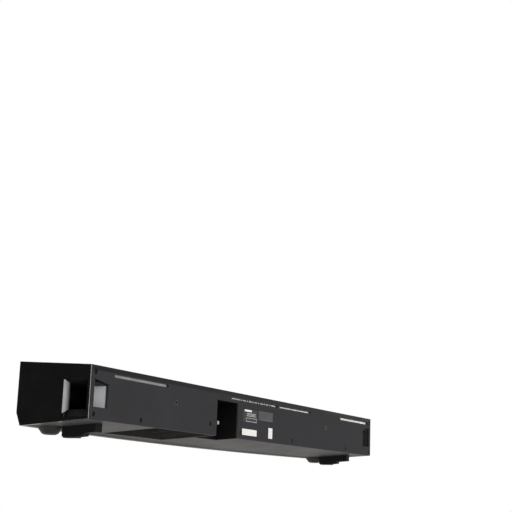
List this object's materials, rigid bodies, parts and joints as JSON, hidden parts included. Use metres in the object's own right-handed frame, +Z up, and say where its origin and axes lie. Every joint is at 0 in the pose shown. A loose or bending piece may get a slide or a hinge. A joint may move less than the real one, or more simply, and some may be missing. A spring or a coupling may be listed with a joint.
{
  "type": "soundbar",
  "caption": "Bow-fronted soundbar on four feet, with corner ports, a cable bay in the rear, a down-facing bass driver and keys on top.",
  "frame": {"origin": "middle of the footprint, on the plane the feet stand on", "axes": "+X along the length, to the right seen from the front; the front faces -Y; +Z up"},
  "size_m": [1, 0.167, 0.1125],
  "materials": {
    "shell": "satin moulded plastic, dark grey",
    "lid": "satin moulded plastic, near black",
    "baffle": "black moulded plastic",
    "frame": "satin black plastic",
    "grille": "black powder coat on perforated steel",
    "cheek": "polished black",
    "duct": "black moulded plastic",
    "port_trim": "silver-grey paint",
    "plated_steel": "bright zinc plate",
    "dark_steel": "black oxide",
    "brass": "turned",
    "board": "green solder mask",
    "jacks": "moulded sockets: white, red and orange",
    "dark_plastic": "black moulded plastic",
    "window": "smoked, polished",
    "transformer": "taped winding and ferrite core",
    "heat_sink": "extruded, plain",
    "woofer_grille": "black moulded plastic",
    "foot": "black moulded plastic",
    "pad": "soft black rubber",
    "dome": "dark grey firm rubber",
    "button": "satin, near black",
    "basket": "black paint on pressed steel",
    "magnet": "ferrite magnet with steel plates",
    "suspension": "soft black rubber and doped cloth",
    "cone": "coated paper"
  },
  "bodies": {
    "cabinet": {"lower_housing": "shell", "rear_panel": "shell", "top_cover": "lid", "front_baffle": "baffle", "grille_frame": "frame", "front_grille": "grille", "end_cheek_right": "cheek", "end_cheek_left": "cheek", "port_duct_right": "duct", "port_duct_left": "duct", "port_trim_right": "port_trim", "port_trim_left": "port_trim", "stiffener_rail": "plated_steel", "bracket_inserts": "brass", "rear_screws": "dark_steel", "jack_board": "board", "rca_jacks": "jacks", "optical_jack": "dark_plastic", "power_inlet": "dark_plastic", "display_window": "window", "display_board": "board", "button_board": "board", "power_board": "board", "transformer": "transformer", "power_heat_sink": "heat_sink", "main_board": "board", "amplifier_heat_sink": "heat_sink", "board_screws": "plated_steel", "driver_screws": "dark_steel", "woofer_grille": "woofer_grille", "foot_block_right": "foot", "foot_block_left": "foot", "foot_pads": "pad", "front_foot_right": "dome", "front_foot_left": "dome", "foot_screws": "plated_steel", "front_driver_1_basket": "basket", "front_driver_1_magnet": "magnet", "front_driver_1_suspension": "suspension", "front_driver_2_basket": "basket", "front_driver_2_magnet": "magnet", "front_driver_2_suspension": "suspension", "front_driver_3_basket": "basket", "front_driver_3_magnet": "magnet", "front_driver_3_suspension": "suspension", "front_driver_4_basket": "basket", "front_driver_4_magnet": "magnet", "front_driver_4_suspension": "suspension", "bass_driver_basket": "basket", "bass_driver_magnet": "magnet", "bass_driver_suspension": "suspension"},
    "power_button_key": {"power_button": "button"},
    "source_button_key": {"source_button": "button"},
    "volume_down_button_key": {"volume_down_button": "button"},
    "volume_up_button_key": {"volume_up_button": "button"},
    "front_driver_1_moving": {"front_driver_1_cone": "cone"},
    "front_driver_2_moving": {"front_driver_2_cone": "cone"},
    "front_driver_3_moving": {"front_driver_3_cone": "cone"},
    "front_driver_4_moving": {"front_driver_4_cone": "cone"},
    "bass_driver_moving": {"bass_driver_cone": "cone"}
  },
  "joints": [
    {"name": "power_button_press", "type": "slide", "parent": "cabinet", "child": "power_button_key", "axis": [0, -0.0592, -0.9982], "range_m": [0, 0.0008], "stiffness_N_per_m": 400, "springref_m": -0.001},
    {"name": "source_button_press", "type": "slide", "parent": "cabinet", "child": "source_button_key", "axis": [0, -0.0592, -0.9982], "range_m": [0, 0.0008], "stiffness_N_per_m": 400, "springref_m": -0.001},
    {"name": "volume_down_button_press", "type": "slide", "parent": "cabinet", "child": "volume_down_button_key", "axis": [0, -0.0592, -0.9982], "range_m": [0, 0.0008], "stiffness_N_per_m": 400, "springref_m": -0.001},
    {"name": "volume_up_button_press", "type": "slide", "parent": "cabinet", "child": "volume_up_button_key", "axis": [0, -0.0592, -0.9982], "range_m": [0, 0.0008], "stiffness_N_per_m": 400, "springref_m": -0.001},
    {"name": "front_driver_1_stroke", "type": "slide", "parent": "cabinet", "child": "front_driver_1_moving", "axis": [-0.0929, -0.9957, 0], "range_m": [-0.003, 0.003], "stiffness_N_per_m": 1500},
    {"name": "front_driver_2_stroke", "type": "slide", "parent": "cabinet", "child": "front_driver_2_moving", "axis": [-0.0409, -0.9992, 0], "range_m": [-0.003, 0.003], "stiffness_N_per_m": 1500},
    {"name": "front_driver_3_stroke", "type": "slide", "parent": "cabinet", "child": "front_driver_3_moving", "axis": [0.0409, -0.9992, 0], "range_m": [-0.003, 0.003], "stiffness_N_per_m": 1500},
    {"name": "front_driver_4_stroke", "type": "slide", "parent": "cabinet", "child": "front_driver_4_moving", "axis": [0.0929, -0.9957, 0], "range_m": [-0.003, 0.003], "stiffness_N_per_m": 1500},
    {"name": "bass_driver_stroke", "type": "slide", "parent": "cabinet", "child": "bass_driver_moving", "axis": [0, 0.0739, -0.9973], "range_m": [-0.004, 0.004], "stiffness_N_per_m": 1800}
  ]
}
